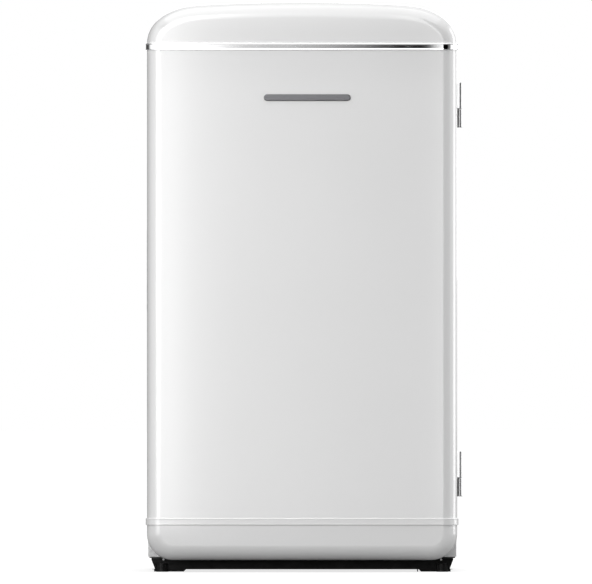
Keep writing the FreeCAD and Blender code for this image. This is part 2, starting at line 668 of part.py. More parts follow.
# ---- Cooling system -------------------------------------------------------------------------------
PUMP = (70.0, 172.0)  # centre of the compressor in plan
PUMP_HALF = (90.0, 57.0)
PUMP_Z = (38.0, 186.0)
COIL_Y = 238.0
COIL_R = 2.5
COIL_TOP_Z = 762.0
COIL_PITCH = 42.0
COIL_PASSES = 12
COIL_HALF_W = 195.0
SUCTION_R = 4.0


def line_places():
    """x and hole radius of the suction line and the capillary where they enter the back."""
    return ((LINE_HOLE[0] + 9, SUCTION_R + 0.3), (LINE_HOLE[0] - 9, 1.6))


def grommet_places():
    return [(PUMP[0] + sx * 84.0, PUMP[1] + sy * 49.0) for sx in (-1, 1) for sy in (-1, 1)]


def pump_form(grow, z):
    (cx, cy), (hx, hy) = PUMP, PUMP_HALF
    return block((cx - hx - grow, cx + hx + grow), (cy - hy - grow, cy + hy + grow), z, hy + grow - 1.5)


def compressor_shell():
    """Hermetic pot: two domed halves welded at a flange, on a pressed mounting plate."""
    wall = 3.0

    def pot(inset):
        low, high = PUMP_Z[0] + inset, PUMP_Z[1] - inset
        form = rounded(pump_form(-inset, (low, high)), 30.0 - inset, lambda e: at(e, "Z", high))
        return rounded(form, 16.0 - inset, lambda e: at(e, "Z", low))

    shell = pot(0).fuse(pump_form(3.0, (108, 112))).cut(pot(wall))
    cx, cy = PUMP
    plate = block((cx - 98, cx + 98), (cy - 62, cy + 62), (PUMP_Z[0] - 3, PUMP_Z[0] + 0.4), 14.0)
    shell = shell.fuse(plate.cut(pot(wall)))
    for x, y in grommet_places():
        shell = shell.cut(rod(6.2, (x, y, 20), (x, y, 60)))
    return shell


def compressor_motor():
    """Motor stack with the pump block on top, standing on three springs' worth of clearance."""
    cx, cy = PUMP
    stack = block((cx - 52, cx + 52), (cy - 42, cy + 42), (60, 112), 10.0)
    pump = block((cx - 34, cx + 34), (cy - 30, cy + 30), (112, 150), 8.0)
    shaft = rod(8, (cx, cy, 52), (cx, cy, 158))
    head = rod(15, (cx + 30, cy, 131), (cx + 66, cy, 131))
    return stack.fuse(pump).fuse(shaft).fuse(head)


def grommets():
    parts = []
    for x, y in grommet_places():
        waist = rod(6.0, (x, y, PAN_Z[1]), (x, y, 46))
        lower = rod(10.0, (x, y, PAN_Z[1]), (x, y, PUMP_Z[0] - 3 - 0.1))
        upper = rod(9.0, (x, y, PUMP_Z[0] + 0.6), (x, y, 44))
        parts.append(waist.fuse(lower).fuse(upper).cut(rod(2.6, (x, y, 20), (x, y, 60))))
    return parts


def grommet_bolts():
    bolts = []
    for x, y in grommet_places():
        shank = rod(2.5, (x, y, PAN_Z[0] - 6), (x, y, 47))
        head = rod(6.0, (x, y, 46.1), (x, y, 50))
        nut = rod(5.0, (x, y, PAN_Z[0] - 4.2), (x, y, PAN_Z[0] - 0.2))
        bolts.append(shank.fuse(head).fuse(nut))
    return bolts


def relay_cover():
    """Cover of the start relay and overload, on the end of the compressor."""
    left = PUMP[0] - PUMP_HALF[0] - 4.0
    cover = block((left - 30, left), (PUMP[1] - 24, PUMP[1] + 24), (64, 128), 6.0, "X")
    cover = rounded(cover, 4.0, lambda e: at(e, "X", left - 30))
    return cover.cut(box((left - 28, left + 1), (PUMP[1] - 22, PUMP[1] + 22), (66, 126)))


def condenser_tube():
    """Discharge line up the right side, then a serpentine down the back."""
    riser_x, start_x = 212.0, PUMP[0] + PUMP_HALF[0] - 1.0
    low, high, side = 95.0, COIL_TOP_Z + 36, 1
    route = [(start_x, PUMP[1], low), (riser_x, PUMP[1], low)]
    route += [(riser_x, COIL_Y, low), (riser_x, COIL_Y, high)]
    route += [(150.0, COIL_Y, high), (150.0, COIL_Y, COIL_TOP_Z)]
    for n in range(COIL_PASSES):
        z = COIL_TOP_Z - n * COIL_PITCH
        side = -side
        reach = COIL_HALF_W if n < COIL_PASSES - 1 else COIL_HALF_W + 13
        route.append((side * reach, COIL_Y, z))
        if n < COIL_PASSES - 1:
            route.append((side * reach, COIL_Y, z - COIL_PITCH))
    last_x, last_z = route[-1][0], route[-1][2]
    route.append((last_x, COIL_Y, last_z - 62))
    return route


def condenser_wires():
    wires = []
    low = COIL_TOP_Z - (COIL_PASSES - 1) * COIL_PITCH - 14
    count, half, radius = 29, 164.0, 0.8
    offset = COIL_R + radius + 0.05
    for n in range(count):
        x = -half + 2 * half * n / (count - 1)
        if abs(x - 150.0) < 4:
            x -= 5.5
        for y in (COIL_Y - offset, COIL_Y + offset):
            high = COIL_TOP_Z + 14
            wires.append(rod(radius, (x, y, low), (x, y, high)))
    return wires


def condenser_brackets():
    """Flat bar on each side of the coil, held off the back by three spacers that also face the wall."""
    front = COIL_Y - COIL_R - 0.1
    bar = block((173, 185), (front - 2, front), (COIL_TOP_Z - 470, COIL_TOP_Z + 12), 3.0, "Y")
    for step in (1.5, 5.5, 9.5):
        z = COIL_TOP_Z - step * COIL_PITCH
        bar = bar.fuse(rod(5.5, (179, BACK_Y + SHEET + FIT, z), (179, REAR_Y, z)))
    return both_sides(bar)


def drier_and_capillary():
    """Copper filter drier under the coil, and the thin capillary from it into the back."""
    x, top = -COIL_HALF_W - 13, COIL_TOP_Z - (COIL_PASSES - 1) * COIL_PITCH - 62
    can = taper(3.2, 9.0, (x, COIL_Y, top - 0.2), (x, COIL_Y, top - 14))
    can = can.fuse(rod(9.0, (x, COIL_Y, top - 14), (x, COIL_Y, top - 82)))
    can = can.fuse(taper(9.0, 1.8, (x, COIL_Y, top - 82), (x, COIL_Y, top - 98)))
    hole_x, low, y = LINE_HOLE[0] - 9, top - 118, COIL_Y - 8
    capillary = pipe([(x, COIL_Y, top - 96), (x, COIL_Y, low), (hole_x, y, low), (hole_x, y, LINE_HOLE[1]),
                      (hole_x, CAVITY_REAR_Y + 12, LINE_HOLE[1])], 1.2, 9.0)
    return can.fuse(capillary)


def suction_line():
    hole_x, start_x, y = LINE_HOLE[0] + 9, PUMP[0] - PUMP_HALF[0] + 1, COIL_Y - 8
    return pipe([(start_x, PUMP[1], 146), (hole_x, PUMP[1], 146), (hole_x, y, 146), (hole_x, y, LINE_HOLE[1]),
                 (hole_x, CAVITY_REAR_Y + 12, LINE_HOLE[1])], SUCTION_R, 13.0)


def cooling_nodes():
    shell, discharge = compressor_shell(), pipe(condenser_tube(), COIL_R, 19.0)
    suction = suction_line()
    return {
        "compressor_shell": shell.cut(rod(COIL_R + 0.1, (130, PUMP[1], 95), (200, PUMP[1], 95)))
                                 .cut(rod(SUCTION_R + 0.1, (-60, PUMP[1], 146), (10, PUMP[1], 146))),
        "compressor_motor": compressor_motor(),
        "compressor_grommets": grommets(),
        "relay_cover": relay_cover(),
        "condenser_tube": discharge,
        "condenser_wires": condenser_wires(),
        "condenser_brackets": condenser_brackets(),
        "filter_drier": drier_and_capillary(),
        "suction_line": suction,
    }


# ---- Inside the food compartment ------------------------------------------------------------------
ICEBOX_X = 178.0
ICEBOX_Z = (655.0, 765.0)
ICEBOX_FRONT_Y = -70.0
FLAP_PIVOT = (184.0, -86.0)
FLAP_HALF_THICK = 4.5
FLAP_Z = (652.0, 768.0)
TRAY_Z = (614.0, 640.0)
CONTROL_Y = (-60.0, 75.0)
CONTROL_Z = (545.0, 600.0)
CONTROL_X = 167.0
KNOB = (-36.0, 572.5)  # y and z of the thermostat's axis
LENS_Y = (2.0, 64.0)


def evaporator():
    """Roll-bond aluminium box that forms the ice compartment."""
    wall = 1.6
    outer = block((-ICEBOX_X, ICEBOX_X), (ICEBOX_FRONT_Y, CAVITY_REAR_Y - 0.5), ICEBOX_Z, 14.0, "Y")
    inner = block((-ICEBOX_X + wall, ICEBOX_X - wall), (ICEBOX_FRONT_Y - 1, CAVITY_REAR_Y - 0.5 - wall),
                  (ICEBOX_Z[0] + wall, ICEBOX_Z[1] - wall), 14.0 - wall, "Y")
    return outer.cut(inner)


def icebox_frame():
    """Front frame that hangs the ice compartment from the ceiling and carries its door's pivots."""
    back, front = ICEBOX_FRONT_Y - 0.2, ICEBOX_FRONT_Y - 10.0
    frame = block((-190, 190), (front, back), (646, CAVITY_Z[1] - 0.4), 6.0, "Y")
    frame = frame.cut(block((-172, 172), (front - 1, back + 1), (661, 759), 10.0, "Y"))
    px, py = FLAP_PIVOT
    for z in ((646.0, FLAP_Z[0] - 0.4), (FLAP_Z[1] + 0.4, 774.0)):
        ear = box((px - 6, px + 6), (py, front + 1), z).fuse(rod(6.0, (px, py, z[0]), (px, py, z[1])))
        frame = frame.fuse(ear)
    return frame.cut(rod(2.5 + BORE_CLEARANCE, (px, py, 640), (px, py, 780)))


def icebox_flap():
    """Door of the ice compartment, with its pivot pins and a finger lip."""
    px, py = FLAP_PIVOT
    t = FLAP_HALF_THICK
    slab = box((-187, px), (py - t, py + t), FLAP_Z)
    slab = rounded(slab, 3.0, lambda e: at(e, "X", -187) and along(e, "Z"))
    flap = slab.fuse(rod(t, (px, py, FLAP_Z[0]), (px, py, FLAP_Z[1])))
    panel = block((-172, 164), (py - t - 1, py - t + 1.6), (FLAP_Z[0] + 14, FLAP_Z[1] - 14), 8.0, "Y")
    lip = block((-182, -150), (py - t - 6, py - t + 1), (FLAP_Z[0] + 4, FLAP_Z[0] + 12), 3.0, "Y")
    pins = rod(2.5, (px, py, FLAP_Z[0] - 5), (px, py, FLAP_Z[1] + 5))
    return flap.cut(panel).fuse(lip).fuse(pins)


def defrost_tray():
    """Shallow tray under the ice compartment, hung by its side rims on the liner's ledges."""
    tub = tray((-186, 186), (-78, 150), TRAY_Z, 2.0, 12.0)
    rim = box((-199, 199), (-78, 150), (TRAY_Z[1] - 3.8, TRAY_Z[1] - 2))
    hole = block((-184.5, 184.5), (-76.5, 148.5), (TRAY_Z[0] + 4, TRAY_Z[1] + 5), 10.5)
    return tub.fuse(rim.cut(hole))


def control_form(inset):
    return block((CONTROL_X + inset, CAVITY_HALF_W - FIT), (CONTROL_Y[0] + inset, CONTROL_Y[1] - inset),
                 (CONTROL_Z[0] + inset, CONTROL_Z[1] - inset), 10.0 - inset, "X")


def control_housing():
    """Cover on the right wall over the thermostat and the lamp."""
    wall = 2.0
    shell = rounded(control_form(0), 4.0, lambda e: at(e, "X", CONTROL_X))
    shell = shell.cut(control_form(wall).fuse(box((CAVITY_HALF_W - 1, 300), (-300, 300), (0, 900))))
    window_z = (CONTROL_Z[0] + 9, CONTROL_Z[1] - 9)
    window = block((CONTROL_X - 1, CONTROL_X + wall + 1), LENS_Y, window_z, 6.0, "X")
    y, z = KNOB
    return shell.cut(window).cut(rod(3.6, (CONTROL_X - 5, y, z), (CONTROL_X + 10, y, z)))


def lamp_lens():
    """Clear window of the lamp, filling the opening in the housing."""
    z = (CONTROL_Z[0] + 9 + FIT, CONTROL_Z[1] - 9 - FIT)
    y = (LENS_Y[0] + FIT, LENS_Y[1] - FIT)
    lens = block((CONTROL_X - 3.5, CONTROL_X + 2), y, z, 5.8, "X")
    lens = rounded(lens, 2.5, lambda e: at(e, "X", CONTROL_X - 3.5))
    hollow = block((CONTROL_X - 1.7, CONTROL_X + 3), (y[0] + 2, y[1] - 2), (z[0] + 2, z[1] - 2), 3.8, "X")
    return lens.cut(hollow)


def thermostat():
    """Switch body behind the knob, with the bulb's capillary cut short inside the wall."""
    y, z = KNOB
    body = block((CONTROL_X + 6, CAVITY_HALF_W - 2), (y - 16, y + 16), (z - 17, z + 17), 3.0, "X")
    collar = rod(5.5, (CONTROL_X + 3, y, z), (CONTROL_X + 7, y, z))
    return body.fuse(collar).cut(rod(3.0 + BORE_CLEARANCE, (CONTROL_X - 5, y, z), (CAVITY_HALF_W - 8, y, z)))


def thermostat_knob():
    """Grip wheel with a pointer ridge, on the thermostat's shaft."""
    y, z = KNOB
    outer = CONTROL_X - 0.4
    wheel = rod(17.0, (outer - 11, y, z), (outer, y, z))
    wheel = rounded(wheel, 1.5, lambda e: at(e, "X", outer - 11))
    for n in range(24):
        turn = 2 * math.pi * n / 24
        dy, dz = 17.6 * math.cos(turn), 17.6 * math.sin(turn)
        wheel = wheel.cut(rod(1.4, (outer - 12, y + dy, z + dz), (outer - 2, y + dy, z + dz)))
    pointer = block((outer - 13, outer - 10), (y - 1.4, y + 1.4), (z + 2, z + 15), 1.3, "X")
    shaft = rod(3.0, (outer - 2, y, z), (CAVITY_HALF_W - 10, y, z))
    return wheel.fuse(pointer).fuse(shaft)


def light_switch_parts():
    x, z = SWITCH
    bore = rod(SWITCH_R + 0.1, (x, FRONT_Y, z), (x, FRONT_Y + 18, z))
    tip = DOOR_REAR_Y + 0.3
    plunger = rod(SWITCH_R, (x, tip, z), (x, FRONT_Y + 12, z))
    plunger = rounded(plunger, 1.2, lambda e: at(e, "Y", tip))
    return {"light_switch_body": switch_body_form(0).cut(bore), "light_switch_plunger": plunger}


def shelf(level):
    """Glass sheet on the liner's ledges."""
    return box((-197, 197), (-92, CAVITY_REAR_Y - 4), (level, level + GLASS))


def shelf_trim(level):
    """Front edging that grips the glass."""
    bar = block((-197, 197), (-97, -82), (level - 4.5, level + GLASS + 4.5), 3.0, "X")
    return bar.cut(box((-198, 198), (-92.2, -80), (level - 0.1, level + GLASS + 0.1)))


def crisper_drawer():
    """Vegetable drawer with a rolled front rim, standing on the compartment's floor."""
    low = CAVITY_Z[0] + 0.8
    tub = tray((-186, 186), (-90, STEP_Y - 6), (low, 216), 2.2, 16.0)
    rim = block((-190, 190), (-94, STEP_Y - 4), (212, 216), 14.0)
    rim = rim.cut(block((-183.8, 183.8), (-87.8, STEP_Y - 8.2), (200, 230), 13.8))
    grip = block((-70, 70), (-98, -89), (196, 216), 4.0, "X")
    grip = grip.cut(box((-66, 66), (-99.5, -91.5), (190, 213)).cut(box((-70, 70), (-98, -96), (190, 213))))
    return tub.fuse(rim).fuse(grip)


def inside_nodes():
    nodes = {
        "evaporator": evaporator(),
        "icebox_frame": icebox_frame(),
        "icebox_flap": icebox_flap(),
        "defrost_tray": defrost_tray(),
        "control_housing": control_housing(),
        "lamp_lens": lamp_lens(),
        "thermostat": thermostat(),
        "thermostat_knob": thermostat_knob(),
        "crisper_cover": box((-197, 197), (-92, STEP_Y - 2), (CRISPER_COVER_Z, CRISPER_COVER_Z + GLASS)),
        "crisper_drawer": crisper_drawer(),
    }
    for name, level in zip(("upper", "lower"), SHELF_Z):
        nodes[f"{name}_shelf"] = shelf(level)
    nodes["shelf_trims"] = [shelf_trim(level) for level in SHELF_Z]
    nodes.update(light_switch_parts())
    return nodes


def cabinet_nodes():
    nodes = side_panels()
    nodes.update({
        "top_cover": top_cover(),
        "front_crossbars": front_crossbars(),
        "cabinet_liner": liner(),
        "cabinet_foam": cabinet_foam(),
        "rear_panel": rear_panel(),
        "cabinet_fasteners": cabinet_fasteners(),
        "compartment_plate": compartment_plate(),
    })
    return nodes


# ---- Export ---------------------------------------------------------------------------------------
def frame_shift():
    """Moves the middle of the envelope, hinges and spacers included, onto the origin's vertical."""
    left, right = -HALF_W - STRIP_PROUD, AXIS_X + BARREL_R
    front, rear = DOOR_FRONT_Y - max(BADGE_THICK, STRIP_PROUD), REAR_Y
    return Vector(-(left + right) / 2, -(front + rear) / 2, 0)


def main():
    os.makedirs("parts", exist_ok=True)
    nodes = {}
    for group in (cabinet_nodes, base_nodes, cooling_nodes, inside_nodes, door_nodes, hinge_nodes):
        nodes.update(group())
    shift = frame_shift()
    for name, shape in nodes.items():
        whole = Part.makeCompound(shape) if isinstance(shape, list) else shape.removeSplitter()
        whole = whole.copy()
        whole.translate(shift)
        if not whole.isValid() or not whole.Solids:
            print("not a valid solid:", name)
        whole.exportStep(f"parts/{name}.step")
    print(len(nodes), "nodes; shift", tuple(round(v, 3) for v in shift))


main()
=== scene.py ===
import json
import math

import bmesh
import bpy
from mathutils import Matrix, Vector

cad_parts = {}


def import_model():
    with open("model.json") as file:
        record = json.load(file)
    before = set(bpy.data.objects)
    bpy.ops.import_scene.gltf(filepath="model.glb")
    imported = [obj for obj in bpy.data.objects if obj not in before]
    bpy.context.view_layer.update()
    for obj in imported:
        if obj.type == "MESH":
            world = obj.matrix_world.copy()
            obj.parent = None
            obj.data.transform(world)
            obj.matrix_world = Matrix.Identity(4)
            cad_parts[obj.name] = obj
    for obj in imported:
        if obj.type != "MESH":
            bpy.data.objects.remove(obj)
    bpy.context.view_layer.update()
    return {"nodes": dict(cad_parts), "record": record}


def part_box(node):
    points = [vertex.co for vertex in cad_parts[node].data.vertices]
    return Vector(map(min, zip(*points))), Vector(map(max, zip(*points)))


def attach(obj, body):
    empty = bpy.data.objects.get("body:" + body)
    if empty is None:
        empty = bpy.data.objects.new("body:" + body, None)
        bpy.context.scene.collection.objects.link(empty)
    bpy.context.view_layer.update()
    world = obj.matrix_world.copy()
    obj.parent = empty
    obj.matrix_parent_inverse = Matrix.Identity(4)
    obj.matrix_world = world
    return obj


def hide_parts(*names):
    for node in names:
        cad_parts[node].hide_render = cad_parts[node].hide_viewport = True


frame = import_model()
NODES = frame["nodes"]

# ---- Places and sizes, in metres, taken from the CAD nodes -----------------------------------------
PANEL_LOW, PANEL_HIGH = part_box("door_panel")
DOOR_X = (PANEL_LOW.x + PANEL_HIGH.x) / 2
HALF_W = (PANEL_HIGH.x - PANEL_LOW.x) / 2
FRONT_Y, REAR_Y = PANEL_LOW.y, PANEL_HIGH.y
TOP_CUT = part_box("door_top_cap")[0].z
BOTTOM_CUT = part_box("door_bottom_cap")[1].z
DOOR_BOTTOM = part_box("door_bottom_cap")[0].z
SKIN = 0.002
EDGE_R = 0.023  # rounding between the door's face and its sides
CORNER_R = 0.040  # rounding of the door's lower corners
SPRING_Z = 0.8045  # where the straight sides end and the dome begins
DOME_BENDS = ((0.046, 40.0), (0.091, 10.0), (0.228, 3.0))  # radius, slope in degrees where it ends
REAR_LIP = 0.0006  # small rounding of the skin's rear edge
STRIP_PROUD = 0.002
UPPER_BEAD, UPPER_RECESS = 0.0009, 0.0003
LOWER_BEAD, LOWER_RECESS = 0.0008, 0.0001
GRIP_MARGIN = 0.0002  # gap round the grip in the door's side
GRIP_CORNER_R = 0.0098


# ---- Node material helpers -------------------------------------------------------------------------
class Shader:
    """A material with one Principled shader, and short ways to add procedural detail to it."""

    def __init__(self, name, colour, roughness, metallic=0.0):
        self.mat = bpy.data.materials.new(name)
        self.mat.use_nodes = True
        self.tree = self.mat.node_tree
        self.bsdf = self.tree.nodes["Principled BSDF"]
        self.set("Base Color", (*colour, 1.0))
        self.set("Roughness", roughness)
        self.set("Metallic", metallic)
        self.coords = self.tree.nodes.new("ShaderNodeTexCoord").outputs["Object"]
        self.height = None

    def set(self, socket, value):
        self.bsdf.inputs[socket].default_value = value
        return self

    def link(self, source, target):
        self.tree.links.new(source, target)

    def node(self, kind, **settings):
        made = self.tree.nodes.new(kind)
        for key, value in settings.items():
            setattr(made, key, value)
        return made

    def mapped(self, stretch):
        if stretch == (1, 1, 1):
            return self.coords
        mapping = self.node("ShaderNodeMapping")
        mapping.inputs["Scale"].default_value = stretch
        self.link(self.coords, mapping.inputs["Vector"])
        return mapping.outputs["Vector"]

    def noise(self, scale, detail=3.0, rough=0.5, stretch=(1, 1, 1)):
        made = self.node("ShaderNodeTexNoise")
        made.inputs["Scale"].default_value = scale
        made.inputs["Detail"].default_value = detail
        made.inputs["Roughness"].default_value = rough
        self.link(self.mapped(stretch), made.inputs["Vector"])
        return made.outputs["Fac"]

    def cells(self, scale, output="Distance"):
        made = self.node("ShaderNodeTexVoronoi")
        made.inputs["Scale"].default_value = scale
        self.link(self.coords, made.inputs["Vector"])
        return made.outputs[output]

    def wave(self, scale, direction):
        made = self.node("ShaderNodeTexWave", bands_direction=direction)
        made.inputs["Scale"].default_value = scale
        self.link(self.coords, made.inputs["Vector"])
        return made.outputs["Fac"]

    def spread(self, value, low, high, out_low=0.0, out_high=1.0):
        made = self.node("ShaderNodeMapRange", interpolation_type="SMOOTHSTEP")
        limits = {"From Min": low, "From Max": high, "To Min": out_low, "To Max": out_high}
        for socket, number in limits.items():
            made.inputs[socket].default_value = number
        self.link(value, made.inputs["Value"])
        return made.outputs["Result"]

    def tint(self, mask, colour):
        """Blends the base colour towards another one where the mask is 1."""
        mix = self.node("ShaderNodeMix", data_type="RGBA")
        base = self.bsdf.inputs["Base Color"]
        if base.is_linked:
            self.link(base.links[0].from_socket, mix.inputs["A"])
        else:
            mix.inputs["A"].default_value = base.default_value[:]
        mix.inputs["B"].default_value = (*colour, 1.0)
        self.link(mask, mix.inputs["Factor"])
        self.link(mix.outputs["Result"], base)
        return self

    def shine(self, mask, low, high):
        """Roughness between two values, by a mask."""
        self.link(self.spread(mask, 0.15, 0.85, low, high), self.bsdf.inputs["Roughness"])
        return self

    def bump(self, height, distance):
        """Adds a relief of that depth in metres."""
        made = self.node("ShaderNodeBump")
        made.inputs["Distance"].default_value = distance
        self.link(height, made.inputs["Height"])
        if self.height is not None:
            self.link(self.height, made.inputs["Normal"])
        self.height = made.outputs["Normal"]
        self.link(self.height, self.bsdf.inputs["Normal"])
        return self


def gloss_paint(name, colour, shade, rough=0.22, coat=1.0):
    """Stoved enamel: faint orange peel, a barely uneven film and a clear top layer."""
    s = Shader(name, colour, rough)
    s.set("Coat Weight", coat).set("Coat Roughness", 0.045).set("Coat IOR", 1.5)
    s.tint(s.spread(s.noise(5.0, 1.0), 0.2, 0.9), shade)
    s.shine(s.noise(14.0, 2.0), rough - 0.015, rough + 0.02)
    s.bump(s.noise(420.0, 1.0), 0.000006)
    s.bump(s.noise(70.0, 0.0), 0.000004)
    return s.mat


def chrome(name, colour, rough=0.07):
    """Bright plating with fine wiping marks."""
    s = Shader(name, colour, rough, 1.0)
    s.shine(s.noise(45.0, 4.0, 0.6, (1.0, 1.0, 3.0)), rough, rough + 0.03)
    s.tint(s.spread(s.noise(25.0, 3.0), 0.5, 0.8), tuple(c * 0.93 for c in colour))
    s.bump(s.noise(500.0, 2.0, 0.6, (0.2, 1.0, 4.0)), 0.0000015)
    return s.mat


def brushed(name, colour, rough, stretch):
    """Metal with grain along one axis."""
    s = Shader(name, colour, rough, 1.0)
    grain = s.noise(900.0, 3.0, 0.7, stretch)
    s.shine(grain, rough - 0.08, rough + 0.1)
    s.tint(s.spread(grain, 0.4, 0.7), tuple(c * 0.86 for c in colour))
    s.tint(s.spread(s.noise(30.0, 4.0), 0.55, 0.8), tuple(c * 0.8 for c in colour))
    s.bump(grain, 0.00001)
    return s.mat


def moulded(name, colour, rough, grain=900.0, depth=0.00002, shade=0.94, coat=0.0):
    """Moulded plastic with a spark-eroded grain and a slightly uneven tone."""
    s = Shader(name, colour, rough)
    s.set("Coat Weight", coat).set("Coat Roughness", 0.1)
    s.tint(s.spread(s.noise(18.0, 3.0), 0.4, 0.8), tuple(c * shade for c in colour))
    s.shine(s.noise(60.0, 3.0), rough - 0.04, rough + 0.08)
    s.bump(s.cells(grain), depth)
    return s.mat


def black_plastic(name, tone, rough):
    """Black moulded plastic that gives back little light, greyed a little where it is scuffed."""
    s = Shader(name, (tone, tone, tone), rough)
    s.set("Specular IOR Level", 0.1)
    s.tint(s.spread(s.noise(45.0, 5.0, 0.65), 0.58, 0.85), (tone * 2.5, tone * 2.5, tone * 2.5))
    s.shine(s.noise(60.0, 3.0), rough - 0.05, rough + 0.1)
    s.bump(s.cells(800.0), 0.00002)
    return s.mat


def clear_plastic(name, colour, rough, transmission):
    """Clear styrene with a faint frost, flow marks and fine scuffs."""
    s = Shader(name, colour, rough)
    s.set("Transmission Weight", transmission).set("IOR", 1.33)
    s.shine(s.noise(55.0, 4.0, 0.6, (1.0, 1.0, 0.3)), rough, rough + 0.14)
    s.tint(s.spread(s.noise(12.0, 2.0), 0.4, 0.8), tuple(c * 0.96 for c in colour))
    s.bump(s.noise(160.0, 2.0), 0.00001)
    return s.mat


def rubber(name, colour, rough=0.62):
    """Rubber with a dusty bloom and a fine moulded skin."""
    s = Shader(name, colour, rough)
    s.tint(s.spread(s.noise(35.0, 5.0, 0.6), 0.52, 0.78), tuple(c * 1.25 + 0.02 for c in colour))
    s.shine(s.noise(50.0, 3.0), rough - 0.06, rough + 0.14)
    s.bump(s.noise(800.0, 3.0, 0.6), 0.00003)
    return s.mat


def foam_material():
    """Cut polyurethane: open cells in two sizes, yellowed in patches, with painted shade darkening the cells'
    pits.
    """
    s = Shader("Foam", (0.80, 0.68, 0.40), 0.9)
    s.tint(s.spread(s.noise(9.0, 4.0), 0.4, 0.75), (0.70, 0.55, 0.28))
    # painted shade: darker brown at the cells' centres, the same pits that the bump below carves
    s.tint(s.spread(s.cells(420.0), 0.0, 0.35, 1.0, 0.0), (0.55, 0.43, 0.22))
    s.bump(s.cells(420.0), 0.0006)
    s.bump(s.noise(90.0, 4.0), 0.0006)
    return s.mat


def spangled_zinc():
    """Galvanised sheet: frosted crystals of differing tone."""
    s = Shader("ZincSheet", (0.60, 0.62, 0.64), 0.38, 1.0)
    crystal = s.cells(130.0, output="Color")
    tone = s.node("ShaderNodeSeparateColor")
    s.link(crystal, tone.inputs["Color"])
    s.tint(s.spread(tone.outputs["Red"], 0.0, 1.0), (0.51, 0.53, 0.55))
    s.shine(tone.outputs["Green"], 0.34, 0.46)
    s.bump(s.noise(500.0, 3.0), 0.00001)
    return s.mat


def copper_tube():
    """Drawn copper, browned where it has been brazed and handled."""
    s = Shader("Copper", (0.78, 0.36, 0.20), 0.28, 1.0)
    s.tint(s.spread(s.noise(28.0, 5.0, 0.6), 0.42, 0.72), (0.36, 0.15, 0.08))
    s.shine(s.noise(45.0, 4.0), 0.2, 0.48)
    s.bump(s.noise(600.0, 2.0), 0.00001)
    return s.mat


def roll_bond():
    """Rolled aluminium with soft inflated channels and a light frosting."""
    s = Shader("Evaporator", (0.50, 0.52, 0.54), 0.5, 1.0)
    s.tint(s.spread(s.noise(20.0, 5.0), 0.45, 0.75), (0.42, 0.44, 0.47))
    s.shine(s.noise(70.0, 4.0), 0.42, 0.6)
    s.bump(s.spread(s.wave(4.4, "Y"), 0.55, 0.95), 0.0009)
    s.bump(s.noise(900.0, 2.0, 0.6, (4.0, 0.3, 4.0)), 0.00001)
    return s.mat


def shelf_glass():
    """Toughened float glass, greenish, with a few wiping marks."""
    s = Shader("ShelfGlass", (0.86, 0.96, 0.92), 0.02)
    s.set("Transmission Weight", 1.0).set("IOR", 1.5)
    s.shine(s.noise(35.0, 5.0, 0.6, (1.0, 0.4, 1.0)), 0.01, 0.06)
    s.tint(s.spread(s.noise(15.0, 2.0), 0.4, 0.8), (0.83, 0.95, 0.90))
    return s.mat


def gasket_material():
    """Soft PVC seal, greyed in random patches."""
    s = Shader("Gasket", (0.66, 0.66, 0.65), 0.5)
    s.set("Sheen Weight", 0.15)
    s.tint(s.spread(s.noise(26.0, 4.0), 0.5, 0.8), (0.55, 0.55, 0.54))
    s.shine(s.noise(60.0, 3.0), 0.42, 0.6)
    s.bump(s.noise(700.0, 3.0), 0.00002)
    return s.mat


